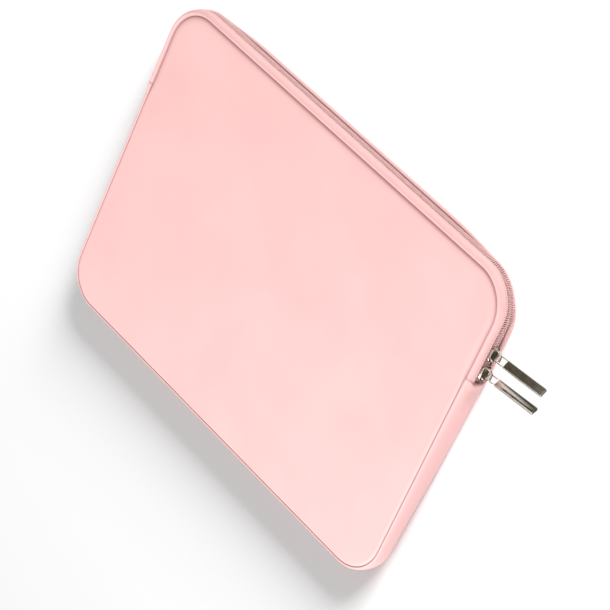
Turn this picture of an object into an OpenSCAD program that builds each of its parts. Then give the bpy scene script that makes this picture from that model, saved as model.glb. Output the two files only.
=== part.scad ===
// Padded laptop sleeve with a zip over its top edge and part way down both sides.
// It lies on its back panel. X runs across it to the side where both sliders park,
// Y runs up it to the zip's long edge, and Z rises through its thickness.
// The origin is the middle of the back panel's outer face. Millimetres.

/* [Sleeve] */
// Width across the two side gussets
sleeve_w = 350; // [300:1:420]
// Height from the bottom gusset to the top edge
sleeve_h = 249; // [205:1:300]
// Thickness from the back face to the front face
sleeve_t = 21; // [17.5:0.5:30]
// Radius of the panel seam at the four corners
corner_r = 26.5; // [18:0.5:32]
// How far the gusset and the zip facings stand out past the panel seam
bulge = 4.5; // [4:0.1:7]

/* [Layers] */
// Thickness of the coated outer skin
skin_t = 1; // [0.6:0.1:1.3]
// Thickness of the foam padding
foam_t = 2.6; // [2:0.1:3.2]
// Thickness of the plush lining
lining_t = 0.8; // [0.5:0.1:1]
// Width of the binding that covers the inner seam edges, from the panel seam inward
binding_w = 2.5; // [1.5:0.1:5]
// Thickness of the seam binding
binding_t = 1.2; // [0.8:0.1:1.5]

/* [Zip] */
// Distance from the top edge down to where each zip end is sewn under the gusset
zip_drop = 75.5; // [62:0.5:90]
// Thickness of the zip tapes
tape_t = 0.6; // [0.4:0.1:0.8]
// Width of tape sewn behind each facing
tape_tuck = 2; // [1.5:0.1:2.5]
// Width of each coil half
coil_w = 2.2; // [1.8:0.1:2.7]
// Height of the coil above its tape
coil_t = 1.6; // [1.2:0.1:2]
// Gap between the two halves, which lets the sliders' centre posts through
chain_gap = 1.7; // [1.5:0.1:2.2]
// Depth of the coil's top below the crest of the facings
coil_depth = 0.3; // [0.1:0.1:0.6]
// Clearance between a slider's side and the facing's folded edge
slot_gap = 0.6; // [0.4:0.1:1]
// Distance of the topstitching from the facing's folded edge
stitch_inset = 1.5; // [1:0.1:2]
// Width of the topstitching thread
stitch_w = 0.6; // [0.4:0.1:0.8]

/* [Sliders] */
// Length of a slider along the zip
slider_l = 11; // [9:0.5:13.5]
// Thickness of a slider's top plate
plate_t = 1.3; // [1:0.1:1.6]
// Thickness of a slider's bottom plate
sole_t = 1; // [0.8:0.1:1]
// Width of the flanges at a slider's sides
flange_w = 0.7; // [0.5:0.1:0.9]
// Clearance between a slider and the zip, through its thickness
run_gap = 0.4; // [0.3:0.05:0.5]
// Clearance between a slider's flanges and the coils
side_gap = 0.25; // [0.2:0.05:0.4]
// Gap between the zip's end and the lower slider
end_gap = 4; // [3.6:0.1:6]
// Gap between the two parked sliders
slider_gap = 3.7; // [3.4:0.1:5]
// Thickness of the crown's arch
crown_t = 1.1; // [0.9:0.1:1.3]
// Width of the crown across the zip
crown_w = 1.5; // [1.2:0.1:1.8]
// Height of the crown above its slider's top plate
crown_h = 5.7; // [5.4:0.1:6.5]

/* [Pulls] */
// Length of a pull from the middle of its eye bar to its tip
pull_l = 39.5; // [30:0.5:50]
// Play across the crown in a pull's window
window_play = 3.1; // [3:0.1:3.6]
// Thickness of a pull
pull_t = 2; // [1.6:0.1:2.2]
// Length of the window that the crown passes through
window_l = 7.5; // [7:0.1:9]
// Width of each rail beside the window
rail_w = 0.7; // [0.6:0.1:0.8]
// Diameter of the eye bar under the crown
eye_d = 1; // [0.8:0.1:1.1]
// Angle at which both pulls hang below the horizontal, where the surface under them leaves room
pull_droop = 10; // [0:0.5:10]
// Turn of the upper pull about its length, away from lying flat
roll_a = 44; // [42:1:90]
// Turn of the lower pull about its length, away from lying flat
roll_b = 66; // [42:1:90]
// Height of the upper pull's eye bar above the middle of its crown
lift_a = 0.45; // [0.4:0.05:0.6]

/* [Flap] */
// Distance from the upper slider's top end to the line where the front flap folds
fold_margin = 3.3; // [2:0.1:6]
// Gap along the fold line
fold_gap = 0.2; // [0.1:0.05:0.4]

/* [Hidden] */

pink = "#FBCFCB";
foam_white = "#E9E6E0";
plush_pink = "#F0BFC0";
tape_pink = "#DDA09F";
thread_pink = "#F3C9C3";
nickel = "#C9C5BC";
curve_steps = 16;

mid = sleeve_t / 2;
seam_x = sleeve_w / 2 - bulge;
seam_y = sleeve_h / 2 - bulge;
corner_x = seam_x - corner_r;
corner_y = seam_y - corner_r;

// Depth of each layer's inner face below the outer surface
skin_in = skin_t;
foam_in = skin_in + foam_t;
lining_in = foam_in + lining_t;

zip_y = sleeve_h / 2 - zip_drop;
slider_b_y = zip_y + end_gap + slider_l / 2;
slider_a_y = slider_b_y + slider_l + slider_gap;
fold_y = slider_a_y + slider_l / 2 + fold_margin;

// Places outward from the panel seam
coil_out = bulge - coil_depth;
tape_out = coil_out - coil_t;
tape_in = tape_out - tape_t;
plate_low = coil_out + run_gap;
plate_high = plate_low + plate_t;
sole_flange_h = 0.4;
sole_high = tape_in - run_gap - sole_flange_h;
sole_low = sole_high - sole_t;

// Heights of the slot's upper edge and of the facing's turned hem
slider_w = chain_gap + 2 * (coil_w + side_gap + flange_w);
slot_edge = mid + slider_w / 2 + slot_gap;
hem_top = slot_edge + tape_tuck;

post_l = 2.2;
post_inset = 1;
post_y = slider_l / 2 - post_inset - post_l / 2;
post_w = chain_gap - 2 * side_gap;
crown_l = slider_l - 1.6;
eye_rise = 2.6;
rail_t = 0.9;
pull_w = crown_w + window_play + 2 * rail_w;
stitch_rise = 0.3;
stitch_seat = 0.05;

// The pulls hang until the lower one's bottom edge is this far above the surface
floor_gap = 0.5;
tip_drop = mid - floor_gap - pull_w / 2 * sin(roll_b) - pull_t / 2 * cos(roll_b);
droop = min(pull_droop, asin(min(1, tip_drop / pull_l)));

// Outward reach of the rounded edge at a turn t up its section, for the layer at a depth
function edge_s(t, depth) = (bulge - depth) * cos(t) * sqrt(1 + pow(sin(t), 2));
function edge_z(t, depth) = mid + (mid - depth) * sin(t);
function edge_turn(z, depth) = asin((z - mid) / (mid - depth));
function edge_points(depth, t0, t1, n) = [
    for (i = [0:n])
        let (t = t0 + (t1 - t0) * i / n)
        [edge_s(t, depth), edge_z(t, depth)]
];
function backward(points) = [for (i = [len(points) - 1:-1:0]) points[i]];
function to_rear(points) = [for (p = points) [p[0], sleeve_t - p[1]]];
function box_points(s0, s1, z0, z1) = [[s0, z0], [s1, z0], [s1, z1], [s0, z1]];

// Sections are drawn with x outward from the panel seam and y up through the thickness
function layer_section(outer, inner) = concat(
    edge_points(outer, -90, 90, curve_steps),
    edge_points(inner, 90, -90, curve_steps)
);
function facing_section() = concat(
    edge_points(0, edge_turn(slot_edge, 0), 90, curve_steps),
    edge_points(skin_in, 90, edge_turn(hem_top, skin_in), curve_steps / 2),
    [[tape_out, hem_top], [tape_out, slot_edge]]
);
function facing_foam_section() = concat(
    [[0, sleeve_t - lining_in], [tape_in, sleeve_t - lining_in], [tape_in, hem_top]],
    edge_points(skin_in, edge_turn(hem_top, skin_in), 90, curve_steps / 2)
);
function tape_section() = box_points(tape_in, tape_out, mid + chain_gap / 2, hem_top);
function coil_section() =
    box_points(tape_out, coil_out, mid + chain_gap / 2, mid + chain_gap / 2 + coil_w);
function binding_section() =
    box_points(-binding_w, 0, sleeve_t - lining_in - binding_t, sleeve_t - lining_in);
function stitch_section() =
    let (t0 = edge_turn(slot_edge + stitch_inset, 0))
    let (t1 = edge_turn(slot_edge + stitch_inset + stitch_w, 0))
    concat(edge_points(-stitch_seat, t0, t1, 2), edge_points(-stitch_seat - stitch_rise, t1, t0, 2));

// A straight run of a section up one side, from y0 to y1
module side_run(points, y0, y1) {
    translate([seam_x, y1, 0])
        rotate([90, 0, 0])
            linear_extrude(y1 - y0) polygon(points);
}

// A quarter turn of a section round the top right corner
module corner_run(points) {
    translate([corner_x, corner_y, 0])
        rotate_extrude(angle = 90, $fn = 96)
            translate([corner_r, 0]) polygon(points);
}

// The long run of a section along the top edge
module top_run(points) {
    translate([-corner_x, seam_y, 0])
        rotate([90, 0, 90])
            linear_extrude(2 * corner_x) polygon(points);
}

module both_sides() {
    children();
    mirror([1, 0, 0]) children();
}

// A section carried over the top edge and down both sides to y0
module over_top(points, y0) {
    both_sides() {
        side_run(points, y0, corner_y);
        corner_run(points);
    }
    top_run(points);
}

// A section carried round the bottom edge and up both sides to y1
module round_bottom(points, y1) {
    mirror([0, 1, 0]) over_top(points, -y1);
}

// The panels' outline, with round corners
module panel_outline() {
    square([2 * seam_x, 2 * corner_y], center = true);
    square([2 * corner_x, 2 * seam_y], center = true);
    for (x = [-corner_x, corner_x], y = [-corner_y, corner_y])
        translate([x, y]) circle(corner_r, $fn = 96);
}

module panel_layer(z0, z1) {
    translate([0, 0, z0]) linear_extrude(z1 - z0) panel_outline();
}

// A layer of the front panel below the fold line, at a depth under the front face
module front_layer(outer, inner) {
    translate([0, 0, sleeve_t - inner])
        linear_extrude(inner - outer)
            intersection() {
                panel_outline();
                translate([-sleeve_w, -sleeve_h]) square([2 * sleeve_w, sleeve_h + fold_y]);
            }
}

// A layer of the front flap above the fold line
module flap_layer(outer, inner) {
    translate([0, 0, sleeve_t - inner])
        linear_extrude(inner - outer)
            intersection() {
                panel_outline();
                translate([-sleeve_w, fold_y + fold_gap]) square([2 * sleeve_w, sleeve_h]);
            }
}

// A plate of a slider, thin along X, with its nose and tail rounded
module slider_plate(thickness) {
    rotate([90, 0, 90])
        linear_extrude(thickness)
            intersection() {
                square([slider_l, slider_w], center = true);
                circle(slider_l * 0.56, $fn = 64);
            }
}

// A slider's two plates, its centre post and its four flanges; open_end is 1 or -1 along Y
module slider_body(y, open_end) {
    translate([seam_x, y, mid]) {
        translate([plate_low, 0, 0]) slider_plate(plate_t);
        translate([sole_low, 0, 0]) slider_plate(sole_t);
        translate([sole_high, open_end * post_y - post_l / 2, -post_w / 2])
            cube([plate_low - sole_high, post_l, post_w]);
        for (z = [-slider_w / 2, slider_w / 2 - flange_w]) {
            translate([tape_out + run_gap, -slider_l / 3, z])
                cube([plate_low - tape_out - run_gap, slider_l * 2 / 3, flange_w]);
            translate([sole_high, -slider_l / 3, z])
                cube([tape_in - run_gap - sole_high, slider_l * 2 / 3, flange_w]);
        }
    }
}

// Half of a superellipse, rising along x to a height and reaching half_l each way along y
function arch_points(half_l, height, n) = [
    for (i = [0:n])
        let (t = 180 * i / n)
        [height * pow(max(0, sin(t)), 0.7), half_l * sign(cos(t)) * pow(abs(cos(t)), 0.7)]
];

// The arch that holds the pull's eye, standing on the top plate and running along the zip
module slider_crown(y) {
    outer = arch_points(crown_l / 2, crown_h, 24);
    inner = arch_points(crown_l / 2 - crown_t, crown_h - crown_t, 24);
    translate([seam_x + plate_high, y, mid - crown_w / 2])
        linear_extrude(crown_w) polygon(concat(outer, backward(inner)));
}

// A flat bar pull with a window at its eye end, drawn along X and then hung from the crown
module slider_pull(y, roll, lift) {
    translate([seam_x + plate_high + eye_rise, y, mid + lift])
        rotate([0, droop, 0])
            rotate([-roll, 0, 0]) {
                translate([window_l, -pull_w / 2, -pull_t / 2])
                    cube([pull_l - window_l, pull_w, pull_t]);
                for (side = [-pull_w / 2, pull_w / 2 - rail_w])
                    translate([0, side, -rail_t / 2]) cube([window_l + 0.5, rail_w, rail_t]);
                translate([0, pull_w / 2, 0])
                    rotate([90, 0, 0]) cylinder(h = pull_w, d = eye_d, $fn = 32);
            }
}

module back_panel_skin() { color(pink) panel_layer(0, skin_in); }
module back_panel_foam() { color(foam_white) panel_layer(skin_in, foam_in); }
module back_panel_lining() { color(plush_pink) panel_layer(foam_in, lining_in); }
module front_panel_skin() { color(pink) front_layer(0, skin_in); }
module front_panel_foam() { color(foam_white) front_layer(skin_in, foam_in); }
module front_panel_lining() { color(plush_pink) front_layer(foam_in, lining_in); }

module gusset_skin() { color(pink) round_bottom(layer_section(0, skin_in), zip_y); }
module gusset_foam() { color(foam_white) round_bottom(layer_section(skin_in, foam_in), zip_y); }
module gusset_lining() { color(plush_pink) round_bottom(layer_section(foam_in, lining_in), zip_y); }

module rear_zip_facing() { color(pink) over_top(to_rear(facing_section()), zip_y); }
module rear_facing_foam() { color(foam_white) over_top(to_rear(facing_foam_section()), zip_y); }
module rear_zip_tape() { color(tape_pink) over_top(to_rear(tape_section()), zip_y); }
module rear_zip_coil() { color(tape_pink) over_top(to_rear(coil_section()), zip_y); }
module rear_zip_topstitch() { color(thread_pink) over_top(to_rear(stitch_section()), zip_y); }

module back_seam_binding() {
    color(tape_pink) {
        over_top(to_rear(binding_section()), zip_y);
        round_bottom(to_rear(binding_section()), zip_y);
    }
}
module front_seam_binding() { color(tape_pink) round_bottom(binding_section(), fold_y); }

module front_facing_ends() {
    color(pink) both_sides() side_run(facing_section(), zip_y, fold_y);
}
module front_facing_end_foam() {
    color(foam_white) both_sides() side_run(facing_foam_section(), zip_y, fold_y);
}
module front_tape_ends() {
    color(tape_pink) both_sides() side_run(tape_section(), zip_y, fold_y);
}
module front_coil_ends() {
    color(tape_pink) both_sides() side_run(coil_section(), zip_y, fold_y);
}
module front_topstitch_ends() {
    color(thread_pink) both_sides() side_run(stitch_section(), zip_y, fold_y);
}

module front_flap_skin() { color(pink) flap_layer(0, skin_in); }
module front_flap_foam() { color(foam_white) flap_layer(skin_in, foam_in); }
module front_flap_lining() { color(plush_pink) flap_layer(foam_in, lining_in); }
module front_zip_facing() { color(pink) over_top(facing_section(), fold_y + fold_gap); }
module front_facing_foam() { color(foam_white) over_top(facing_foam_section(), fold_y + fold_gap); }
module front_zip_tape() { color(tape_pink) over_top(tape_section(), fold_y + fold_gap); }
module front_zip_coil() { color(tape_pink) over_top(coil_section(), fold_y + fold_gap); }
module front_zip_topstitch() { color(thread_pink) over_top(stitch_section(), fold_y + fold_gap); }
module flap_seam_binding() { color(tape_pink) over_top(binding_section(), fold_y + fold_gap); }

module slider_a_body() { color(nickel) slider_body(slider_a_y, -1); }
module slider_a_crown() { color(nickel) slider_crown(slider_a_y); }
module pull_a() { color(nickel) slider_pull(slider_a_y, roll_a, lift_a); }
module slider_b_body() { color(nickel) slider_body(slider_b_y, 1); }
module slider_b_crown() { color(nickel) slider_crown(slider_b_y); }
module pull_b() { color(nickel) slider_pull(slider_b_y, roll_b, 0); }

back_panel_skin();
back_panel_foam();
back_panel_lining();
front_panel_skin();
front_panel_foam();
front_panel_lining();
gusset_skin();
gusset_foam();
gusset_lining();
rear_zip_facing();
rear_facing_foam();
rear_zip_tape();
rear_zip_coil();
rear_zip_topstitch();
back_seam_binding();
front_seam_binding();
front_facing_ends();
front_facing_end_foam();
front_tape_ends();
front_coil_ends();
front_topstitch_ends();
front_flap_skin();
front_flap_foam();
front_flap_lining();
front_zip_facing();
front_facing_foam();
front_zip_tape();
front_zip_coil();
front_zip_topstitch();
flap_seam_binding();
slider_a_body();
slider_a_crown();
pull_a();
slider_b_body();
slider_b_crown();
pull_b();
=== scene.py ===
import math

import bmesh
import bpy
from mathutils import Matrix, Vector, noise


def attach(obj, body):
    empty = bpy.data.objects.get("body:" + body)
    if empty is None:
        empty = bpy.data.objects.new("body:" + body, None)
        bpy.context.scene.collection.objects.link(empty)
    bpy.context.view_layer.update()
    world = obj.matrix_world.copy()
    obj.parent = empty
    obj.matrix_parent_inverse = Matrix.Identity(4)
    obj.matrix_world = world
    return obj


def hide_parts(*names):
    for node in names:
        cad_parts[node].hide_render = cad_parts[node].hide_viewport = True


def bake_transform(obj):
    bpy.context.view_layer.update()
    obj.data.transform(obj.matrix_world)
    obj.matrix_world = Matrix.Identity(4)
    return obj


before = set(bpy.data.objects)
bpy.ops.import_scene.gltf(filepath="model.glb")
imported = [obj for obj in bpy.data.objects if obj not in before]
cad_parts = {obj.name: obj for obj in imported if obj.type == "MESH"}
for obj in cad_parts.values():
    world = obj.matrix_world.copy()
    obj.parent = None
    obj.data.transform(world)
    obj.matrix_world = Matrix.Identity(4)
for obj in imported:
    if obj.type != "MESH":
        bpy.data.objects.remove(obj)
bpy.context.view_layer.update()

# ---------------------------------------------------------------- sizes, in millimetres
MM = 0.001
THICK = 21.0
MID = THICK / 2
ON_FLOOR = 0.02
# the seam between a panel and the sides, seen from the front
SEAM_X = 170.5
SEAM_Y = 120.0
CORNER_R = 26.5
CORNER_X = SEAM_X - CORNER_R
CORNER_Y = SEAM_Y - CORNER_R
QUARTER = math.pi * CORNER_R / 2
ROUND = 4 * (CORNER_X + CORNER_Y) + 4 * QUARTER
BULGE = 4.5
# layers
SKIN = 1.0
FOAM_IN = 3.6
LINING_IN = 4.4
# zip
ZIP_Y = 49.0
ZIP_END = ROUND / 2 - ZIP_Y
TAPE_IN = 2.0
TAPE_OUT = 2.6
TAPE_TOP = 17.1
HEM_CLEAR = 14.75
HEM_BY_COIL = 13.8
HEM_CLOSING = 2.7
STITCH_UP = 1.62
TUCK = 0.45
# how far the slack back draws in and up, and how far in from the seam that fades
SLACK_IN = 3.2
SLACK_UP = 3.0
SLACK_REACH = 24


# ---------------------------------------------------------------- shells
def rim(u):
    """The point on the panel seam u millimetres round from the middle of the right side, and its outward way.

    u grows towards the zip's corner, so the zip runs from ZIP_Y to ZIP_END and the gusset on from there.
    """
    turn, w = divmod(u, ROUND / 2)
    sign = -1 if int(turn) % 2 else 1
    top = CORNER_Y + QUARTER
    left = top + 2 * CORNER_X
    if w < CORNER_Y:
        x, y, a = SEAM_X, w, 0.0
    elif w < top:
        a = (w - CORNER_Y) / CORNER_R
        x, y = CORNER_X + CORNER_R * math.cos(a), CORNER_Y + CORNER_R * math.sin(a)
    elif w < left:
        x, y, a = CORNER_X - (w - top), SEAM_Y, math.pi / 2
    elif w < left + QUARTER:
        a = math.pi / 2 + (w - left) / CORNER_R
        x, y = -CORNER_X + CORNER_R * math.cos(a), CORNER_Y + CORNER_R * math.sin(a)
    else:
        x, y, a = -SEAM_X, ROUND / 2 - w, math.pi
    return sign * x, sign * y, sign * math.cos(a), sign * math.sin(a)


def span(a, b, step):
    """Even steps from a to b, both included, of about the given size."""
    n = max(1, round(abs(b - a) / step))
    return [a + (b - a) * i / n for i in range(n + 1)]


def ease(t):
    t = min(1.0, max(0.0, t))
    return t * t * (3 - 2 * t)


def loft(rings, looped=False):
    """A shell through rings of points, with a cloth coordinate along and across it in metres."""
    n = len(rings[0])
    verts = [Vector(p) * MM for ring in rings for p in ring]
    along = [0.0]
    for i in range(1, len(rings) + 1):
        a, b = rings[i - 1], rings[i % len(rings)]
        along.append(along[-1] + max((Vector(p) - Vector(q)).length for p, q in zip(a[::4], b[::4])))
    across = [0.0]
    for j in range(1, n + 1):
        across.append(across[-1] + (Vector(rings[0][j - 1]) - Vector(rings[0][j % n])).length)
    faces, cloth = [], []
    for i in range(len(rings) if looped else len(rings) - 1):
        for j in range(n):
            i1, j1 = (i + 1) % len(rings), (j + 1) % n
            faces.append((i * n + j, i1 * n + j, i1 * n + j1, i * n + j1))
            corners = ((i, j), (i + 1, j), (i + 1, j + 1), (i, j + 1))
            cloth.append([(along[a] * MM, across[b] * MM) for a, b in corners])
    if not looped:
        for ring, order in ((0, range(n)), (len(rings) - 1, range(n - 1, -1, -1))):
            faces.append(tuple(ring * n + j for j in order))
            cloth.append([(rings[ring][j][0] * MM, rings[ring][j][2] * MM) for j in order])
    return verts, faces, cloth


def round_the_rim(stations, section, **how):
    """A shell whose section(u), as points outward from the seam and up, is carried round the rim."""
    rings = []
    for u in stations:
        x, y, nx, ny = rim(u)
        rings.append([(x + s * nx, y + s * ny, z) for s, z in section(u)])
    return loft(rings, **how)


def slab(upper, lower, inset, step=4.0, rings_in=24, draw_in=None):
    """A closed slab in the panels' outline, between the heights that upper and lower give for (depth in, u)."""
    edge = [d for d in (0, 0.08, 0.25, 0.55, 1.0, 1.6, 2.3, 3.2, 4.3, 5.5, 7, 9, 12, 16, 20, 24) if d > inset]
    stations = [ROUND * i / round(ROUND / step) for i in range(round(ROUND / step))]
    n = len(stations)
    plan = []
    for d in [inset] + edge:
        ring = []
        for u in stations:
            x, y, nx, ny = rim(u)
            far = d + (draw_in(d, u) if draw_in else 0.0)
            ring.append((x - far * nx, y - far * ny, d, u))
        plan.append(ring)
    for k in range(1, rings_in):
        f = 1 - k / rings_in
        plan.append([(x * f, y * f, 24 + k, u) for x, y, d, u in plan[len(edge)]])
    verts = []
    for face in (upper, lower):
        verts += [Vector((x, y, face(d, u))) * MM for ring in plan for x, y, d, u in ring]
        verts.append(Vector((0, 0, face(99, 0))) * MM)
    faces = []
    size = n * len(plan) + 1
    for base, up in ((0, True), (size, False)):
        for i in range(len(plan) - 1):
            for j in range(n):
                j1 = (j + 1) % n
                q = (i * n + j, i * n + j1, (i + 1) * n + j1, (i + 1) * n + j)
                faces.append(tuple(base + v for v in (q if up else q[::-1])))
        last = (len(plan) - 1) * n
        for j in range(n):
            t = (last + j, last + (j + 1) % n, size - 1)
            faces.append(tuple(base + v for v in (t if up else t[::-1])))
    for j in range(n):
        faces.append((j, size + j, size + (j + 1) % n, (j + 1) % n))
    cloth = [[(verts[v].x, verts[v].y) for v in f] for f in faces]
    return verts, faces, cloth


def rod(path, side, section):
    """A bar with a section (out, side) swept along a path that lies square to the side direction."""
    rings = []
    side = Vector(side)
    for i, p in enumerate(path):
        before = Vector(path[max(0, i - 1)])
        after = Vector(path[min(len(path) - 1, i + 1)])
        out = (after - before).normalized().cross(side)
        shape = section(i / (len(path) - 1)) if callable(section) else section
        rings.append([tuple(Vector(p) + out * a + side * b) for a, b in shape])
    return loft(rings)


def rounded(half_a, half_b, r, n=4):
    """A rectangle with round corners, as points."""
    points = []
    for q, (ca, cb) in enumerate(((1, 1), (-1, 1), (-1, -1), (1, -1))):
        for k in range(n + 1):
            t = math.pi / 2 * (q + k / n)
            points.append((ca * (half_a - r) + r * math.cos(t), cb * (half_b - r) + r * math.sin(t)))
    return points


def plate(outline, low, high, edge, place):
    """A plate with the given outline and rolled edges. place takes (a, b, c) to the frame in millimetres."""
    n = len(outline)
    away = []
    for i in range(n):
        a, b = Vector(outline[i - 1]), Vector(outline[(i + 1) % n])
        t = (b - a).normalized()
        away.append(Vector((t.y, -t.x)))
    rings = []
    turns = [math.pi / 2 * k / 4 for k in range(5)]
    for level, way, order in ((low, 1, turns), (high, -1, turns[::-1])):
        for t in order:
            back, up = edge * (1 - math.sin(t)), edge * (1 - math.cos(t))
            rings.append([(Vector(p) - m * back, level + way * up) for p, m in zip(outline, away)])
    return loft([[tuple(place @ Vector((p.x, p.y, c))) for p, c in ring] for ring in rings])


def piece(name, shells, finish, body=None, stands_for=()):
    """An object from shells, in its finish, riding on its body in place of CAD nodes."""
    verts, faces, cloth = [], [], []
    for v, f, c in shells:
        faces += [tuple(len(verts) + i for i in face) for face in f]
        verts += v
        cloth += c
    mesh = bpy.data.meshes.new(name)
    mesh.from_pydata([tuple(v) for v in verts], [], faces)
    mesh.update()
    layer = mesh.uv_layers.new(name="cloth")
    layer.data.foreach_set("uv", [x for face in cloth for pair in face for x in pair])
    mesh.polygons.foreach_set("use_smooth", [True] * len(mesh.polygons))
    obj = bpy.data.objects.new(name, mesh)
    bpy.context.scene.collection.objects.link(obj)
    mesh.materials.append(finish)
    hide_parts(*stands_for)
    if body:
        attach(obj, body)
    return obj


def outward(obj):
    """Turns every face of a closed piece outward."""
    bm = bmesh.new()
    bm.from_mesh(obj.data)
    bmesh.ops.recalc_face_normals(bm, faces=bm.faces)
    bm.to_mesh(obj.data)
    bm.free()
    return obj


# ---------------------------------------------------------------- finishes
def tint(code):
    """An sRGB hex colour in linear light."""
    parts = [int(code[i : i + 2], 16) / 255 for i in (1, 3, 5)]
    return tuple(c / 12.92 if c <= 0.04045 else ((c + 0.055) / 1.055) ** 2.4 for c in parts) + (1.0,)


def add(tree, kind, inputs=None, **settings):
    """A node with its settings, its inputs set to values or linked to sockets."""
    node = tree.nodes.new(kind)
    for key, value in settings.items():
        setattr(node, key, value)
    for key, value in (inputs or {}).items():
        if isinstance(value, bpy.types.NodeSocket):
            tree.links.new(value, node.inputs[key])
        else:
            node.inputs[key].default_value = value
    return node


def new_finish(name, shader):
    """An empty material with its shader's even values set, and the shader itself."""
    mat = bpy.data.materials.new(name)
    mat.use_nodes = True
    tree = mat.node_tree
    tree.nodes.clear()
    bsdf = add(tree, "ShaderNodeBsdfPrincipled", shader)
    add(tree, "ShaderNodeOutputMaterial", {"Surface": bsdf.outputs[0]})
    return mat, tree, bsdf


def cloth_place(tree):
    """The coordinate that runs along and across a cloth piece, in metres."""
    return add(tree, "ShaderNodeUVMap", uv_map="cloth").outputs[0]


def own_place(tree):
    return add(tree, "ShaderNodeTexCoord").outputs["Object"]


def patches(tree, place, size, detail, **inputs):
    """Soft random patches of about the given size in metres."""
    inputs = {"Vector": place, "Scale": 1 / size, "Detail": detail, **inputs}
    return add(tree, "ShaderNodeTexNoise", inputs).outputs["Fac"]


def ripples(tree, place, pitch, inputs, **settings):
    """Even bands, one every pitch metres."""
    one_band = 0.31
    inputs = {"Vector": place, "Scale": one_band / pitch, **inputs}
    return add(tree, "ShaderNodeTexWave", inputs, **settings).outputs["Fac"]


def joined(tree, first, second, operation):
    return add(tree, "ShaderNodeMath", {0: first, 1: second}, operation=operation).outputs[0]


def ranged(tree, value, low, high, start=0.0, stop=1.0):
    """A value that runs from start to stop, made to run from low to high."""
    inputs = {"Value": value, "From Min": start, "From Max": stop, "To Min": low, "To Max": high}
    return add(tree, "ShaderNodeMapRange", inputs).outputs[0]


def mixed(tree, share, first, second):
    """A blend of two colours, each a hex code or another blend."""
    first, second = (tint(c) if isinstance(c, str) else c for c in (first, second))
    return add(tree, "ShaderNodeMix", {"Factor": share, 6: first, 7: second}, data_type="RGBA").outputs[2]


def dress(tree, bsdf, colour, roughness, height, strength, depth):
    """Gives a shader its colour, its roughness and a bump whose depth is in metres."""
    bump = add(tree, "ShaderNodeBump", {"Height": height, "Strength": strength, "Distance": depth})
    for key, socket in (("Base Color", colour), ("Roughness", roughness), ("Normal", bump.outputs[0])):
        tree.links.new(socket, bsdf.inputs[key])


def coated_leather(name, deep, light, seam_shade):
    """PU coating embossed with a fine calf grain: a soft even gleam, and pores that only show close by."""
    shader = {"IOR": 1.5, "Coat Weight": 0.08, "Coat Roughness": 0.35, "Sheen Weight": 0.05}
    mat, tree, bsdf = new_finish(name, shader)
    cloth = cloth_place(tree)
    pebble_size, pore_size, coat_drift = 0.9 * MM, 0.35 * MM, 60 * MM
    pebble = add(tree, "ShaderNodeTexVoronoi", {"Vector": cloth, "Scale": 1 / pebble_size}, feature="SMOOTH_F1")
    pores = patches(tree, cloth, pore_size, 3.0)
    grain = joined(tree, pebble.outputs["Distance"], pores, "ADD")
    drift = ranged(tree, patches(tree, cloth, coat_drift, 2.0), 0.0, 1.0, 0.3, 0.7)
    base = mixed(tree, drift, deep, light)
    shade = mixed(tree, ranged(tree, grain, 0.0, 0.25, 0.5, 1.3), base, deep)
    # painted shade: the coat is darkened down in seams, stitch lines, hems and folds, where shade falls
    painted_seam_shade = add(tree, "ShaderNodeAttribute", attribute_name="painted_seam_shade").outputs["Fac"]
    seam_shaded = mixed(tree, joined(tree, painted_seam_shade, 0.62, "MULTIPLY"), shade, seam_shade)
    dress(tree, bsdf, seam_shaded, ranged(tree, grain, 0.42, 0.56, 0.0, 1.4), grain, 0.35, 0.06 * MM)
    return mat


def woven_tape(name, dark, light, pitch):
    """Polyester tape in a close twill: matt, with a fine slanting rib."""
    shader = {"IOR": 1.5, "Sheen Weight": 0.25, "Sheen Roughness": 0.5, "Specular IOR Level": 0.3}
    mat, tree, bsdf = new_finish(name, shader)
    cloth = cloth_place(tree)
    slant = add(tree, "ShaderNodeMapping", {"Vector": cloth, "Rotation": (0, 0, math.radians(50))}).outputs[0]
    rib = ripples(tree, slant, pitch, {"Distortion": 0.6, "Detail": 1.0})
    yarn = ripples(tree, cloth, pitch / 2, {"Distortion": 0.4}, bands_direction="Y")
    weave = joined(tree, rib, yarn, "MULTIPLY")
    fuzz = patches(tree, cloth, 4 * MM, 4.0)
    base = mixed(tree, joined(tree, weave, fuzz, "MULTIPLY"), dark, light)
    dress(tree, bsdf, base, ranged(tree, fuzz, 0.78, 0.92), weave, 0.6, 0.1 * MM)
    return mat


def drawn_nylon(name, dark, light):
    """Nylon monofilament, drawn and heat set: a waxy gleam along each turn."""
    shader = {"IOR": 1.53, "Coat Weight": 0.2, "Coat Roughness": 0.3}
    shader |= {"Subsurface Weight": 0.1, "Subsurface Scale": 0.5 * MM}
    mat, tree, bsdf = new_finish(name, shader)
    streak = patches(tree, own_place(tree), 0.8 * MM, 2.0)
    base = mixed(tree, streak, dark, light)
    dress(tree, bsdf, base, ranged(tree, streak, 0.3, 0.45), streak, 0.2, 0.03 * MM)
    return mat


def sewing_thread(name, dark, light):
    """Bonded polyester thread, three plies: a silky twist across each stitch."""
    mat, tree, bsdf = new_finish(name, {"IOR": 1.5, "Sheen Weight": 0.2, "Specular IOR Level": 0.4})
    twist = {"Vector": cloth_place(tree), "Rotation": (0, 0, math.radians(35))}
    lay = add(tree, "ShaderNodeMapping", twist).outputs[0]
    ply_pitch = 0.3 * MM
    ply = ripples(tree, lay, ply_pitch, {"Distortion": 0.3})
    dress(tree, bsdf, mixed(tree, ply, dark, light), ranged(tree, ply, 0.5, 0.65), ply, 0.5, 0.05 * MM)
    return mat


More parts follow.
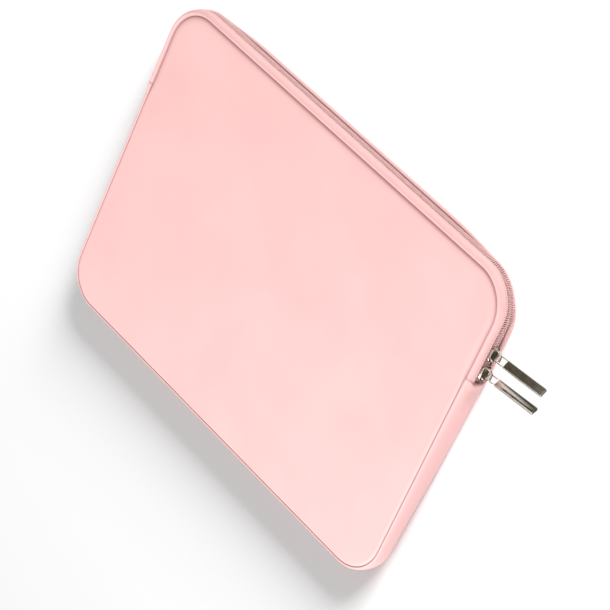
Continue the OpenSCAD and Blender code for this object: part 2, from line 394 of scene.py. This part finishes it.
def brushed_plush(name, dark, light):
    """Short polyester pile, brushed one way: matt and deep, with pale tips and combed patches."""
    shader = {"IOR": 1.45, "Specular IOR Level": 0.15}
    shader |= {"Sheen Weight": 0.6, "Sheen Roughness": 0.4, "Sheen Tint": tint(light)}
    mat, tree, bsdf = new_finish(name, shader)
    cloth = cloth_place(tree)
    combed = add(tree, "ShaderNodeMapping", {"Vector": cloth, "Scale": (1.0, 0.45, 1.0)}).outputs[0]
    # drawn coarser than the real 0.4 mm so that they show
    tuft_size, nap_size = 1.1 * MM, 35 * MM
    tufts = patches(tree, combed, tuft_size, 4.0, Roughness=0.7)
    nap = patches(tree, cloth, nap_size, 3.0)
    share = ranged(tree, joined(tree, tufts, nap, "MULTIPLY"), 0.0, 1.0, 0.12, 0.42)
    dress(tree, bsdf, mixed(tree, share, dark, light), ranged(tree, tufts, 0.85, 1.0), tufts, 0.9, 0.5 * MM)
    return mat


def open_foam(name, dark, light):
    """Open-cell polyurethane foam: dry, with pinholes."""
    shader = {"IOR": 1.4, "Specular IOR Level": 0.2, "Subsurface Weight": 0.1, "Subsurface Scale": 1.0 * MM}
    mat, tree, bsdf = new_finish(name, shader)
    cell_size = 0.8 * MM
    texture = add(tree, "ShaderNodeTexVoronoi", {"Vector": own_place(tree), "Scale": 1 / cell_size})
    cells = texture.outputs["Distance"]
    dress(tree, bsdf, mixed(tree, cells, light, dark), ranged(tree, cells, 0.85, 1.0), cells, 0.7, 0.3 * MM)
    return mat


def plated_nickel(name, body, worn):
    """Zinc casting, tumbled, polished and nickel plated: a warm mirror with hairline rubs."""
    mat, tree, bsdf = new_finish(name, {"Metallic": 1.0})
    place = own_place(tree)
    lengthwise = add(tree, "ShaderNodeMapping", {"Vector": place, "Scale": (0.12, 1.0, 1.0)}).outputs[0]
    hairline, tumbling = 0.15 * MM, 5 * MM
    hair = patches(tree, lengthwise, hairline, 3.0)
    cloud = patches(tree, place, tumbling, 3.0)
    gloss = ranged(tree, joined(tree, hair, cloud, "MULTIPLY"), 0.12, 0.26, 0.1, 0.45)
    dress(tree, bsdf, mixed(tree, cloud, body, worn), gloss, hair, 0.04, 0.01 * MM)
    return mat


# the last colour is painted shade, laid into seams, stitch lines, hems and folds
LEATHER = coated_leather("pink_pu_leather", "#E5B3B1", "#E8BAB7", "#8C686A")
TAPE = woven_tape("pink_zip_tape", "#D8A8A5", "#EEC6C3", 0.0006)
BINDING = woven_tape("pink_seam_binding", "#C99895", "#E6BDB9", 0.0008)
COIL = drawn_nylon("pink_nylon_coil", "#E0B2AF", "#F6D6D3")
THREAD = sewing_thread("pink_sewing_thread", "#DDAAA6", "#F3CFCB")
PLUSH = brushed_plush("pink_plush_lining", "#CC9193", "#F2C9CA")
FOAM = open_foam("white_padding_foam", "#CFCAC0", "#F1EEE7")
NICKEL = plated_nickel("plated_nickel", "#CFC9BE", "#DCD7CD")


# ---------------------------------------------------------------- the rolled edge
def wobble(u, size, seed):
    """A soft unevenness round the rim, from -1 to 1, with waves of about the given size."""
    x, y, nx, ny = rim(u)
    return noise.noise(Vector((x / size, y / size, seed)))


def along_zip(u):
    """1 beside the zip, 0 round the lower gusset."""
    return ease((rim(u)[1] - ZIP_Y + 12) / 24)


def dip(u):
    """How far the seam sits below the panel's face."""
    return 1.7 + 0.8 * along_zip(u) + 0.2 * wobble(u, 14, 3) + 0.1 * wobble(u, 5, 8)


def roll_off(d, u):
    """How far the panel's face has dropped, d in from the seam: a round edge, flatter beside the zip."""
    wide = 2.4 + 3.4 * along_zip(u)
    if d >= wide:
        return 0.0
    f = 1 - d / wide
    flat = 0.35 * along_zip(u)
    return dip(u) * ((1 - flat) * (1 - math.sqrt(1 - f * f)) + flat * f * f)


def slump(u):
    """How far the slack back has drawn in, from 0 to 1: most along the bottom, less at the upper corners."""
    x, y, nx, ny = rim(u)
    bottom = ease((ZIP_Y - 25 - y) / 140)
    upper_corners = 0.85 * ease((y - 88) / 25) * ease((abs(x) - 100) / 60)
    return max(bottom, upper_corners)


def drawn_in(s, z, u):
    """A point of a section, drawn in and up towards the back where the sleeve is slack."""
    w = slump(u) * ease((MID + 2 - z) / (MID + 2))
    return s - SLACK_IN * w, z + SLACK_UP * w


def slumped(section):
    return lambda u: [drawn_in(s, z, u) for s, z in section(u)]


def back_draw(d, u):
    """The same slack for the back panel, d in from its seam."""
    return SLACK_IN * slump(u) * (1 - min(1.0, d / SLACK_REACH))


def back_rise(d, u):
    return SLACK_UP * slump(u) * (1 - ease(d / SLACK_REACH))


def turned_over(section):
    """The same section on the sleeve's back."""
    return lambda u: [(s, max(ON_FLOOR, THICK - z)) for s, z in section(u)][::-1]


def from_end(u):
    """Distance down the gusset from the nearer zip end."""
    return min(u - ZIP_END, ROUND + ZIP_Y - u)


def gusset_bulge(u):
    """How far the gusset stands out: full by the zip, flatter down the sides and along the bottom."""
    e = max(0.0, from_end(u))
    return BULGE - 1.0 * ease(e / 55) - 1.0 * ease((e - 90) / 110)


def lip(u):
    """The turned-in end of the gusset, which stands over the zip's end."""
    e = max(0.0, from_end(u))
    stands_over = 0.95 * (1 - ease((e - 2.2) / 3.5))
    fold = 0.9 * (1 - math.sqrt(max(0.0, 1 - (1 - min(1.0, e / 0.9)) ** 2)))
    return stands_over - fold + 0.12 * wobble(u, 4, 5) * (1 - ease(e / 12))


def edge_curve(bulge, depth, start, stop, seam_drop):
    """Points of the sleeve's edge from one turn in degrees to another, sunk towards its two seams."""
    points = []
    steps = 40
    for i in range(steps + 1):
        f = 0.5 - 0.5 * math.cos(math.pi * i / steps)
        t = math.radians(start + (stop - start) * f)
        s = (bulge - depth) * math.cos(t) * math.sqrt(1 + math.sin(t) ** 2)
        near = min(1.0, max(0.0, s) / 1.9)
        sink = seam_drop * (1 - math.sqrt(1 - (1 - near) ** 2)) if abs(math.sin(t)) > 0.5 else 0.0
        points.append((s, max(ON_FLOOR, MID + (MID - depth - sink) * math.sin(t))))
    return points


def gusset_section(u, depth, thick, over=0.0):
    """A layer of the gusset, depth below its face and so thick, pushed outward by over."""
    bulge = gusset_bulge(u) + over
    outer = edge_curve(bulge, depth, -90, 90, dip(u))
    inner = edge_curve(bulge, depth + thick, 90, -90, max(0.0, dip(u) - 0.3))
    return outer + inner


def zip_end(u):
    """Distance along the zip from its nearer end."""
    return min(u - ZIP_Y, ZIP_END - u)


def tucked(u):
    """How far the zip's parts draw in where they pass under the gusset's end."""
    return TUCK * (1 - ease((zip_end(u) + 1.0) / 4.0))


def hem(u, behind):
    """Height of a facing's folded edge: clear of the sliders, elsewhere by the coil, closed at both ends."""
    clear = ease((CORNER_Y + 10 - rim(u)[1]) / 9) if u < ROUND / 4 else 0.0
    low = HEM_CLEAR if behind else HEM_BY_COIL + (HEM_CLEAR - HEM_BY_COIL) * clear
    return low - HEM_CLOSING * (1 - ease(zip_end(u) / 1.3))


def facing_section(u, behind=False):
    """The puffed strip from the panel seam to its folded edge beside the zip, as it lies in front."""
    drop = dip(u)
    swell = 0.14 * wobble(u, 22, 11)
    low = hem(u, behind)
    line = low + STITCH_UP - 0.02
    # out of the seam and over the puffed edge
    seam = ((0, 1.0), (0.08, 0.8), (0.25, 0.62), (0.6, 0.38), (1.0, 0.2), (1.6, 0.05))
    rows = [(s, THICK - part * drop) for s, part in seam]
    rows += [(2.2, THICK + 0.02 + swell), (2.9, 20.72 + swell), (3.5, 20.1 + swell), (4.0, 19.2 + swell / 2)]
    # down the side, pulled in along the topstitching
    rows += [(4.36, 18.2), (4.52, 17.3), (4.5, line + 0.5), (4.4, line + 0.15)]
    rows += [(4.38, line - 0.05), (4.46, line - 0.3)]
    # round the folded edge
    rows += [(4.54, low + 0.9), (4.46, low + 0.45), (4.2, low + 0.12), (3.8, low), (3.3, low + 0.02)]
    rows += [(2.95, low + 0.2), (2.75, low + 0.6)]
    # back up inside, by the tape
    rows += [(2.66, 16.4), (2.64, 17.0), (2.9, 18.0), (2.6, 18.9), (1.6, 19.2)]
    rows += [(0.7, THICK - drop - 0.7), (0, THICK - drop - 0.9)]
    return [(s - (tucked(u) if s > 0.1 else 0), z) for s, z in rows]


def rear_facing_section(u):
    return facing_section(u, True)


def tape_section(u):
    """A zip tape, with the ridge that the coil is sewn on."""
    low = MID + 0.6
    rows = [(TAPE_IN, low), (TAPE_OUT, low), (TAPE_OUT + 0.12, low + 2.7), (TAPE_OUT + 0.22, low + 2.95)]
    rows += [(TAPE_OUT + 0.1, low + 3.2), (TAPE_OUT, low + 3.5), (TAPE_OUT - 0.02, TAPE_TOP), (TAPE_IN, TAPE_TOP)]
    return [(s - tucked(u), z) for s, z in rows]


ZIP_STATIONS = span(ZIP_Y - 3.2, ZIP_Y + 4, 0.5)
ZIP_STATIONS += span(ZIP_Y + 5.5, ZIP_END - 5.5, 1.6)
ZIP_STATIONS += span(ZIP_END - 4, ZIP_END + 3.2, 0.5)
FOLD_STEPS = (0, 0.1, 0.3, 0.6, 1.0, 1.6)
GUSSET_STATIONS = [ZIP_END + e for e in FOLD_STEPS]
GUSSET_STATIONS += span(ZIP_END + 2.4, ROUND + ZIP_Y - 2.4, 2.0)
GUSSET_STATIONS += [ROUND + ZIP_Y - e for e in FOLD_STEPS[::-1]]


def helix(side, offset):
    """The nylon coil of one zip half: side is 1 in front and -1 behind, offset is in turns."""
    pitch, wire, around, ring = 1.3, 0.28, 10, 5
    reach, half_depth, half_height = 3.55, 0.52, 1.37
    middle = MID + side * 1.4
    points, outs = [], []
    turns = (ZIP_END - ZIP_Y - 6) / pitch
    for k in range(int(turns * around)):
        t = 2 * math.pi * k / around
        u = ZIP_Y + 3.0 + offset * pitch + pitch * k / around
        x, y, nx, ny = rim(u)
        c, s = math.cos(t), math.sin(t)
        out = reach - tucked(u) + half_depth * math.copysign(abs(s) ** 0.7, s)
        up = half_height * math.copysign(abs(c) ** 0.7, c)
        points.append(Vector((x + out * nx, y + out * ny, middle + side * up)))
        outs.append(Vector((nx * s, ny * s, side * c)).normalized())
    rings = []
    for k, p in enumerate(points):
        ahead = (points[min(k + 1, len(points) - 1)] - points[max(k - 1, 0)]).normalized()
        out = (outs[k] - ahead * outs[k].dot(ahead)).normalized()
        other = ahead.cross(out)
        turn = [2 * math.pi * j / ring for j in range(ring)]
        rings.append([tuple(p + out * wire * math.cos(a) + other * wire * math.sin(a)) for a in turn])
    return loft(rings)


def thread_section(f):
    """A stitch's section a share f of its way along: thin where it goes into the cloth."""
    full = 0.5 + 0.5 * math.sin(math.pi * f) ** 0.5
    return rounded(0.2 * full, 0.24 * full, 0.09, 2)


def stitches(behind):
    """The row of topstitching along a facing, each stitch pulled down at its ends."""
    shells = []
    length, gap, steps = 2.6, 0.7, 6
    for u in span(ZIP_Y + 2.8, ZIP_END - 2.8 - length, length + gap):
        path = []
        for k in range(steps + 1):
            f = k / steps
            x, y, nx, ny = rim(u + length * f)
            s = 4.3 + 0.16 * math.sin(math.pi * f) ** 0.5
            z = hem(u, behind) + STITCH_UP + 0.1 * (f - 0.5)
            s, z = drawn_in(s, THICK - z if behind else z, u)
            path.append((x + s * nx, y + s * ny, z))
        shells.append(rod(path, (0, 0, 1), thread_section))
    return shells


# ---------------------------------------------------------------- simulation of the padded panel
def cushion(half_x, half_y, deep, across, along):
    """A flat closed box of cloth: its points, its faces, and how many of its points are on top."""
    row = across + 1
    top = row * (along + 1)
    verts = []
    for z in (THICK, THICK - deep):
        for j in range(along + 1):
            y = half_y * (2 * j / along - 1)
            verts += [(half_x * (2 * i / across - 1) * MM, y * MM, z * MM) for i in range(row)]
    starts = [i + j * row for j in range(along) for i in range(across)]
    cells = [(v, v + 1, v + 1 + row, v + row) for v in starts]
    loop = [*range(across), *(across + j * row for j in range(along))]
    loop += [*(top - 1 - i for i in range(across)), *((along - j) * row for j in range(along))]
    faces = cells + [tuple(top + v for v in cell[::-1]) for cell in cells]
    faces += [(b, a, top + a, top + b) for a, b in zip(loop, loop[1:] + loop[:1])]
    return verts, faces, top


def swollen_front():
    """Swells a cushion in the front panel's place as cloth, and gives the height it gains at (x, y).

    It is sewn down round its rim and along its back.
    """
    half_x, half_y, across, along = SEAM_X - 3, SEAM_Y - 3, 36, 26
    verts, faces, top = cushion(half_x, half_y, 4, across, along)
    mesh = bpy.data.meshes.new("cushion")
    mesh.from_pydata(verts, [], faces)
    cloth = bpy.data.objects.new("cushion", mesh)
    scene = bpy.context.scene
    scene.collection.objects.link(cloth)
    sewn = cloth.vertex_groups.new(name="sewn")
    for v in mesh.vertices:
        inside = min(half_x - abs(v.co.x) / MM, half_y - abs(v.co.y) / MM)
        sewn.add([v.index], 1 - ease(inside / 12) if v.index < top else 1.0, "REPLACE")
    rules = cloth.modifiers.new("Cloth", "CLOTH").settings
    rules.vertex_group_mass = "sewn"
    rules.quality = 5
    rules.mass = 0.3
    rules.tension_stiffness = rules.compression_stiffness = 15
    rules.bending_stiffness = 0.5
    rules.air_damping = 5
    rules.use_pressure = True
    rules.uniform_pressure_force = 0.25
    rules.effector_weights.gravity = 0
    for f in range(1, 31):
        scene.frame_set(f)
    puffed = cloth.evaluated_get(bpy.context.evaluated_depsgraph_get()).data
    rise = [v.co.z / MM - THICK for v in puffed.vertices[:top]]
    print("swell, mm:", round(min(rise), 2), "to", round(max(rise), 2))
    bpy.data.objects.remove(cloth)
    scene.frame_set(1)

    def share(t):
        """How much a cushion point counts, t cells away: a smooth hump."""
        t = abs(t)
        return 0.75 - t * t if t < 0.5 else 0.5 * max(0.0, 1.5 - t) ** 2

    def gained(x, y):
        a, b = (x / half_x + 1) * across / 2, (y / half_y + 1) * along / 2
        height = 0.0
        for j in range(max(0, int(b) - 1), min(along, int(b) + 2) + 1):
            for i in range(max(0, int(a) - 1), min(across, int(a) + 2) + 1):
                height += share(a - i) * share(b - j) * rise[i + j * (across + 1)]
        return height

    return gained


def crowned(obj, gained):
    """Lifts the front panel's points by what the swollen form gained there."""
    for v in obj.data.vertices:
        x, y, z = v.co / MM
        inside = min(SEAM_X - abs(x), SEAM_Y - abs(y))
        if inside > 3 and z > THICK - 0.5:
            v.co.z += gained(x, y) * ease((inside - 3) / 10) * MM
    return obj


def hump(far, wide):
    """1 at nothing, falling away smoothly over about the given width."""
    return math.exp(-((far / wide) ** 2))


def end_slant(z):
    """How much further up the zip the gusset's folded end reaches at a height: most at the two panel seams."""
    return 3.4 * ease((abs(z - MID) - 3.6) / 6)


def marked_for_seam_shade(obj):
    """Marks how deep each point of a leather piece lies in a seam, a stitch line, a hem or a fold, for the
    painted shade that its finish lays there.
    """
    marks = obj.data.attributes.new("painted_seam_shade", "FLOAT", "POINT")
    front_line, rear_line, rear_hem = HEM_BY_COIL + STITCH_UP, 4.65, 6.2
    for v in obj.data.vertices:
        x, y, z = v.co / MM
        over_x, over_y = abs(x) - CORNER_X, abs(y) - CORNER_Y
        if over_x > 0 and over_y > 0:
            inward = CORNER_R - math.hypot(over_x, over_y)
        else:
            inward = min(SEAM_X - abs(x), SEAM_Y - abs(y))
        beside_zip = ease((y - ZIP_Y + 12) / 24)
        wide = 0.4 + 1.3 * beside_zip if inward > 0 else 0.3 + 0.4 * beside_zip
        deep = hump(inward, wide) * (1.0 - 0.35 * beside_zip) if abs(z - MID) > 6.5 else 0.0
        if "facing" in obj.name:
            line = front_line if z > MID else rear_line
            # painted shade along the stitch lines, and a painted shadow along the rear facing's folded edge
            # beside the coil
            deep = max(deep, 0.5 * hump(z - line, 0.3), hump(z - rear_hem, 0.4))
        # painted shade along the gusset's folded end over the zip
        if "panel" not in obj.name and y > 0:
            deep = max(deep, 0.9 * hump(ZIP_Y + end_slant(z) - y, 0.7))
        marks.data[v.index].value = deep
    return obj


def softened(obj):
    """Rounds a piece by one subdivision, made part of its mesh."""
    mod = obj.modifiers.new("Soft", "SUBSURF")
    mod.levels = mod.render_levels = 1
    graph = bpy.context.evaluated_depsgraph_get()
    mesh = bpy.data.meshes.new_from_object(obj.evaluated_get(graph))
    obj.modifiers.clear()
    obj.data = mesh
    return obj


# ---------------------------------------------------------------- covers
def front_face(d, u):
    return THICK - roll_off(d, u)


def front_cover_back(d, u):
    return min(THICK - SKIN, THICK - roll_off(d, u) - 0.8)


def back_cover_front(d, u):
    return max(SKIN, roll_off(d, u) + 0.8) + back_rise(d, u)


def back_face(d, u):
    return ON_FLOOR + roll_off(d, u) + back_rise(d, u)


front_panel = piece(
    "front_panel_leather", [slab(front_face, front_cover_back, 0.0)],
    LEATHER, None, ("front_panel_skin", "front_flap_skin"),
)
crowned(front_panel, swollen_front())
marked_for_seam_shade(front_panel)
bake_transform(front_panel)

back_panel = piece(
    "back_panel_leather", [slab(back_cover_front, back_face, 0.0, draw_in=back_draw)],
    LEATHER, "sleeve", ("back_panel_skin",),
)
marked_for_seam_shade(back_panel)

gusset = piece(
    "gusset_leather",
    [round_the_rim(GUSSET_STATIONS, slumped(lambda u: gusset_section(u, 0.0, SKIN, lip(u))))],
    LEATHER, "sleeve", ("gusset_skin",),
)
for v in gusset.data.vertices:
    x, y, z = v.co / MM
    v.co.y += end_slant(z) * ease((y - 36) / 13) * MM
marked_for_seam_shade(gusset)
front_facing = piece(
    "front_facing_leather", [round_the_rim(ZIP_STATIONS, facing_section)],
    LEATHER, None, ("front_zip_facing", "front_facing_ends"),
)
marked_for_seam_shade(outward(softened(front_facing)))
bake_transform(front_facing)
rear_facing = piece(
    "rear_facing_leather", [round_the_rim(ZIP_STATIONS, slumped(turned_over(rear_facing_section)))],
    LEATHER, "sleeve", ("rear_zip_facing",),
)
marked_for_seam_shade(outward(softened(rear_facing)))


# ---------------------------------------------------------------- padding and lining
def front_pad_face(d, u):
    return THICK - max(SKIN, roll_off(d, u) + 0.85)


def back_pad_face(d, u):
    return max(SKIN, roll_off(d, u) + 0.85) + back_rise(d, u)


front_pad = piece(
    "front_panel_padding", [slab(front_pad_face, lambda d, u: THICK - FOAM_IN, 0.6, 5.0, 16)],
    FOAM, None, ("front_panel_foam", "front_flap_foam"),
)
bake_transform(front_pad)
back_pad = piece(
    "back_panel_padding",
    [slab(lambda d, u: FOAM_IN + back_rise(d, u), back_pad_face, 0.6, 5.0, 16, back_draw)],
    FOAM, "sleeve", ("back_panel_foam",),
)


def front_pile(d, u):
    """Face of the front lining's plush, which thins at its bound edge."""
    return THICK - LINING_IN + 0.35 * (1 - ease(d / 3.0))


def back_pile(d, u):
    return LINING_IN - 0.35 * (1 - ease(d / 3.0)) + back_rise(d, u)


front_plush = piece(
    "front_panel_plush", [slab(lambda d, u: THICK - FOAM_IN - 0.02, front_pile, 0.4)],
    PLUSH, None, ("front_panel_lining", "front_flap_lining"),
)
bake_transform(front_plush)
piece(
    "back_panel_plush",
    [slab(back_pile, lambda d, u: FOAM_IN + 0.02 + back_rise(d, u), 0.4, draw_in=back_draw)],
    PLUSH, "sleeve", ("back_panel_lining",),
)
gusset_foam = slumped(lambda u: gusset_section(u, SKIN + 0.02, FOAM_IN - SKIN - 0.04))
gusset_pad = piece(
    "gusset_padding", [round_the_rim(span(ZIP_END + 0.8, ROUND + ZIP_Y - 0.8, 3.0), gusset_foam)],
    FOAM, "sleeve", ("gusset_foam",),
)
gusset_pile = slumped(lambda u: gusset_section(u, FOAM_IN, LINING_IN - FOAM_IN))
piece(
    "gusset_plush", [round_the_rim(span(ZIP_END + 0.4, ROUND + ZIP_Y - 0.4, 3.0), gusset_pile)],
    PLUSH, "sleeve", ("gusset_lining",),
)


def facing_pad_section(u):
    """The foam cord inside a facing's puffed edge."""
    inner = [(0.1, 16.8), (1.6, 16.7), (1.8, 17.3), (2.3, 17.5)]
    return inner + [(2.5, 18.2), (2.1, 19.0), (1.2, 19.4), (0.2, 18.3)]


front_facing_pad = piece(
    "front_facing_padding", [round_the_rim(ZIP_STATIONS, facing_pad_section)],
    FOAM, None, ("front_facing_foam", "front_facing_end_foam"),
)
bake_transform(front_facing_pad)
rear_facing_pad = piece(
    "rear_facing_padding", [round_the_rim(ZIP_STATIONS, slumped(turned_over(facing_pad_section)))],
    FOAM, "sleeve", ("rear_facing_foam",),
)


def binding_section(u):
    """A folded tape over the raw edges inside the seam."""
    return [(-1.25 + a, 16.0 + b + 0.06 * wobble(u, 6, 21)) for a, b in rounded(1.25, 0.6, 0.45)]


ALL_ROUND = [ROUND * i / 360 for i in range(360)]
front_binding = piece(
    "front_seam_tape", [round_the_rim(ALL_ROUND, binding_section, looped=True)],
    BINDING, None, ("front_seam_binding", "flap_seam_binding"),
)
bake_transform(front_binding)
piece(
    "back_seam_tape", [round_the_rim(ALL_ROUND, slumped(turned_over(binding_section)), looped=True)],
    BINDING, "sleeve", ("back_seam_binding",),
)

# ---------------------------------------------------------------- zip
front_tape = piece(
    "front_zip_band", [round_the_rim(ZIP_STATIONS, tape_section)],
    TAPE, None, ("front_zip_tape", "front_tape_ends"),
)
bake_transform(front_tape)
piece(
    "rear_zip_band", [round_the_rim(ZIP_STATIONS, slumped(turned_over(tape_section)))],
    TAPE, "sleeve", ("rear_zip_tape",),
)
front_coil = piece(
    "front_coil", [helix(1, 0.0)],
    COIL, None, ("front_zip_coil", "front_coil_ends"),
)
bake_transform(outward(front_coil))
rear_coil = piece("rear_coil", [helix(-1, 0.5)], COIL, "sleeve", ("rear_zip_coil",))
outward(rear_coil)
front_stitching = piece(
    "front_topstitching", stitches(False),
    THREAD, None, ("front_zip_topstitch", "front_topstitch_ends"),
)
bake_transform(outward(front_stitching))
rear_stitching = piece(
    "rear_topstitching", stitches(True), THREAD, "sleeve", ("rear_zip_topstitch",),
)
outward(rear_stitching)

# ---------------------------------------------------------------- sliders and pulls
SLIDER_A_Y, SLIDER_B_Y = 73.2, 58.5
PLATE_LOW, PLATE_HIGH = 4.6, 5.9
SOLE_LOW, SOLE_HIGH = 0.2, 1.2
SLIDER_L, SLIDER_W = 11.0, 8.0
CROWN_H, CROWN_W, CROWN_T = 5.7, 1.5, 1.1
EYE_RISE, DROOP = 2.6, math.radians(9.99)
PULL_L, PULL_W, PULL_T = 39.5, 6.0, 2.0
WINDOW_L, RAIL_W, RAIL_T = 7.5, 0.7, 0.9


def squared(angle, half, power):
    """A squarish round: how far out along one way a point at an angle's cosine or sine lies."""
    return half * math.copysign(abs(angle) ** power, angle)


def slider(letter, y, open_end):
    """One cast slider: nose-shaped plates, flanges round the tape, a centre post and the pull's arch.

    Its length runs along Y, its width along Z and its height out from the seam; open_end is the way its
    wide end faces.
    """
    turned = Matrix(((0, 0, 1, 0), (1, 0, 0, 0), (0, 1, 0, 0), (0, 0, 0, 1)))
    base = Matrix.Translation((SEAM_X, y, MID)) @ turned
    outline = []
    for k in range(48):
        t = 2 * math.pi * k / 48
        a = squared(math.cos(t), SLIDER_L / 2, 0.5)
        narrow = 1 - 0.14 * ease((0.25 - open_end * a / SLIDER_L) / 0.75)
        outline.append((a, squared(math.sin(t), SLIDER_W / 2, 0.42) * narrow))
    shells = [plate(outline, PLATE_LOW, PLATE_HIGH, 0.35, base), plate(outline, SOLE_LOW, SOLE_HIGH, 0.3, base)]
    post = [(open_end * 3.4 + a, b) for a, b in rounded(1.1, 0.6, 0.4)]
    shells.append(plate(post, SOLE_HIGH - 0.1, PLATE_LOW + 0.1, 0.05, base))
    for side in (-1, 1):
        flange = [(a, side * (SLIDER_W / 2 - 0.4) + b) for a, b in rounded(SLIDER_L / 3, 0.34, 0.25)]
        shells.append(plate(flange, 3.05, PLATE_LOW + 0.3, 0.12, base))
        shells.append(plate(flange, SOLE_HIGH - 0.2, 1.58, 0.12, base))
    riding = f"slider_{letter}"
    body = piece(f"slider_{letter}_casting", shells, NICKEL, riding, (f"slider_{letter}_body",))
    half = SLIDER_L / 2 - 0.8 - CROWN_T / 2
    sunk = 0.6
    path = []
    for k in range(41):
        t = math.pi * k / 40
        rise = (CROWN_H - CROWN_T / 2 + sunk) * max(0.0, math.sin(t)) ** 0.7 - sunk
        path.append((SEAM_X + PLATE_HIGH + rise, y + squared(math.cos(t), half, 0.7), MID))
    arch = rod(path, (0, 0, 1), rounded(CROWN_T / 2, CROWN_W / 2, 0.4))
    crown = piece(f"slider_{letter}_arch", [arch], NICKEL, riding, (f"slider_{letter}_crown",))
    return outward(body), outward(crown)


def pull(letter, y, roll, lift):
    """One flat bar pull: a rounded bar and the thin bail round its window, hung by the bail's far side."""
    place = Matrix.Translation((SEAM_X + PLATE_HIGH + EYE_RISE, y, MID + lift))
    place = place @ Matrix.Rotation(DROOP, 4, "Y") @ Matrix.Rotation(-roll, 4, "X")
    bar_half = (PULL_L - WINDOW_L) / 2
    bar = [(WINDOW_L + bar_half + a, b) for a, b in rounded(bar_half, PULL_W / 2, 0.7, 5)]
    shells = [plate(bar, -PULL_T / 2, PULL_T / 2, 0.32, place)]
    side = PULL_W / 2 - RAIL_W / 2
    bend = 0.75
    turns = [math.pi / 2 * k / 5 for k in range(6)]
    near = [(WINDOW_L + 0.6, side), (6, side), (4, side), (2, side)]
    near += [(bend - bend * math.sin(t), side - bend + bend * math.cos(t)) for t in turns]
    path = near + [(0, 1.0), (0, 0), (0, -1.0)] + [(a, -b) for a, b in near[::-1]]
    path = [place @ Vector((a, b, 0)) for a, b in path]
    across = place.to_3x3() @ Vector((0, 0, 1))
    shells.append(rod(path, across, rounded(RAIL_W / 2, RAIL_T / 2, 0.22)))
    return outward(piece(f"pull_{letter}_bar", shells, NICKEL, f"pull_{letter}", (f"pull_{letter}",)))


METAL = [*slider("a", SLIDER_A_Y, -1), *slider("b", SLIDER_B_Y, 1)]
METAL += [pull("a", SLIDER_A_Y, math.radians(44), 0.45), pull("b", SLIDER_B_Y, math.radians(66), 0.0)]

# ---------------------------------------------------------------- floor, light and camera
floor_paint, tree, bsdf = new_finish("pale_floor", {"Roughness": 0.9, "Specular IOR Level": 0.1})
speck = add(tree, "ShaderNodeTexNoise", {"Scale": 6.0, "Detail": 2.0})
tree.links.new(mixed(tree, speck.outputs["Fac"], "#F4F4F4", "#F6F6F6"), bsdf.inputs["Base Color"])


def board(name, half, z, finish):
    """A square sheet for the floor and the cards."""
    mesh = bpy.data.meshes.new(name)
    corners = [(-half, -half, z), (half, -half, z), (half, half, z), (-half, half, z)]
    mesh.from_pydata(corners, [], [(0, 1, 2, 3)])
    mesh.materials.append(finish)
    sheet = bpy.data.objects.new(name, mesh)
    bpy.context.scene.collection.objects.link(sheet)
    return sheet


floor = board("floor", 4, -0.0002, floor_paint)

scene = bpy.context.scene
world = bpy.data.worlds.new("studio")
world.use_nodes = True
sky = world.node_tree.nodes["Background"]
sky.inputs["Color"].default_value = (1.0, 1.0, 1.0, 1.0)
sky.inputs["Strength"].default_value = 0.6
scene.world = world
scene.view_settings.view_transform = "Standard"


def softbox(name, place, aim, size, power, reach):
    """A soft lamp, in watts, that lights what its light group allows."""
    light = bpy.data.lights.new(name, "AREA")
    light.shape = "RECTANGLE"
    light.size, light.size_y = size
    light.energy = power
    lamp = bpy.data.objects.new(name, light)
    lamp.location = place
    lamp.rotation_euler = (Vector(aim) - Vector(place)).to_track_quat("-Z", "Y").to_euler()
    lamp.light_linking.receiver_collection = reach
    scene.collection.objects.link(lamp)
    return lamp


def light_group(name, objects, state):
    """Objects that a lamp is kept to (INCLUDE) or kept from (EXCLUDE)."""
    group = bpy.data.collections.new(name)
    for obj in objects:
        group.objects.link(obj)
    for linked in group.collection_objects:
        linked.light_linking.link_state = state
    return group


off_floor = light_group("off_floor", [floor], "EXCLUDE")
floor_alone = light_group("floor_alone", [floor], "INCLUDE")
softbox("overhead", (0.1, 0.1, 1.7), (0, 0, 0), (1.0, 0.8), 5, off_floor)
softbox("key", (0.50, -1.05, 0.92), (0, -0.05, 0), (0.8, 0.7), 20, off_floor)
fill = softbox("fill", (0.5, 1.4, 0.42), (0, 0.1, 0), (0.9, 0.4), 10, off_floor)
fill.visible_glossy = False
# the low lamp only makes the sleeve's shadow on the floor, and none of the metal's
sweep = softbox("low_sweep", (0.8, 3.0, 1.0), (0, 0, 0), (1.2, 1.2), 216, floor_alone)
sweep.light_linking.blocker_collection = light_group("metal", METAL, "EXCLUDE")


def dark_card(name, place, aim, size):
    """A matt dark board that only shows in the metal's reflections."""
    card = board(name, size / 2, 0, CARD)
    card.location = place
    card.rotation_euler = (Vector(aim) - Vector(place)).to_track_quat("Z", "Y").to_euler()
    card.visible_camera = card.visible_diffuse = card.visible_shadow = card.visible_transmission = False


CARD, tree, bsdf = new_finish("dark_card", {"Roughness": 1.0, "Specular IOR Level": 0.0})
felt = add(tree, "ShaderNodeTexNoise", {"Scale": 30.0})
tree.links.new(mixed(tree, felt.outputs["Fac"], "#474339", "#524E44"), bsdf.inputs["Base Color"])
dark_card("card_behind", (-0.05, 0.70, 0.46), (0.2, 0.07, 0.01), 0.55)
# painted shade: a dark sheet on the floor beside the sliders, standing in for the floor's shade under the pulls
# in the metal's reflections
dark_card("floor_shade_card", (0.205, 0.055, 0.0005), (0.205, 0.055, 1.0), 0.055)

camera_data = bpy.data.cameras.new("camera")
camera_data.sensor_width = 36
camera_data.lens = 172.21
camera_data.clip_end = 20
camera = bpy.data.objects.new("camera", camera_data)
right = Vector((0.61257, 0.37267, -0.69705))
up = Vector((-0.58765, 0.80449, -0.08632))
turn = Matrix((right, up, right.cross(up))).transposed().to_4x4()
camera.matrix_world = Matrix.Translation((1.06276, 0.91036, 1.40958)) @ turn
scene.collection.objects.link(camera)
scene.camera = camera
